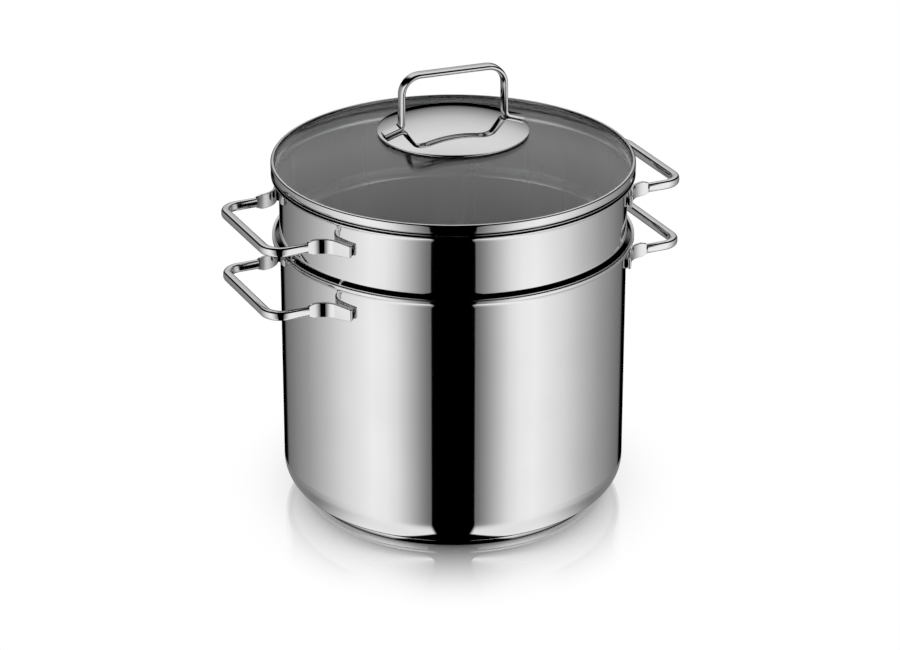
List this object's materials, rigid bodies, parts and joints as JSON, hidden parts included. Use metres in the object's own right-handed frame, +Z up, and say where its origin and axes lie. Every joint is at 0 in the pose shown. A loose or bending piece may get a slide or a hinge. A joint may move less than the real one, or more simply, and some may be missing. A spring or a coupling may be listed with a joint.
{
  "type": "pasta pot",
  "caption": "Tall steel stockpot with a capsule base, a perforated pasta insert hanging in its rim, and a domed glass lid with a steel loop handle.",
  "frame": {"origin": "middle of the underside of the base, on the pot's axis", "axes": "+Z up along the pot's axis, +X through the middle of the right-hand side handles, +Y towards the back"},
  "size_m": [0.318, 0.2526, 0.313],
  "materials": {
    "polished_steel": "mirror-polished stainless steel",
    "satin_steel": "satin stainless steel",
    "aluminium_core": "rolled aluminium",
    "tempered_glass": "clear tempered glass",
    "silicone": "moulded silicone"
  },
  "bodies": {
    "pot": {"pot_body": "polished_steel", "pot_base_core": "aluminium_core", "pot_base_cap": "polished_steel", "pot_handle_right": "polished_steel", "pot_handle_right_front_pad": "polished_steel", "pot_handle_right_rear_pad": "polished_steel", "pot_handle_left": "polished_steel", "pot_handle_left_front_pad": "polished_steel", "pot_handle_left_rear_pad": "polished_steel"},
    "insert": {"insert_body": "satin_steel", "insert_handle_right": "polished_steel", "insert_handle_right_front_pad": "polished_steel", "insert_handle_right_rear_pad": "polished_steel", "insert_handle_left": "polished_steel", "insert_handle_left_front_pad": "polished_steel", "insert_handle_left_rear_pad": "polished_steel"},
    "lid": {"lid_glass": "tempered_glass", "lid_band": "polished_steel", "lid_disc": "polished_steel", "lid_disc_gasket": "silicone", "lid_handle": "polished_steel", "lid_stud": "satin_steel", "lid_upper_seal": "silicone", "lid_sleeve": "silicone", "lid_lower_seal": "silicone", "lid_washer": "satin_steel", "lid_screw": "satin_steel"}
  },
  "joints": [
    {"name": "insert_lift", "type": "slide", "parent": "pot", "child": "insert", "axis": [0, 0, 1], "range_m": [0, 0.18]},
    {"name": "lid_lift", "type": "slide", "parent": "insert", "child": "lid", "axis": [0, 0, 1], "range_m": [0, 0.1]}
  ]
}
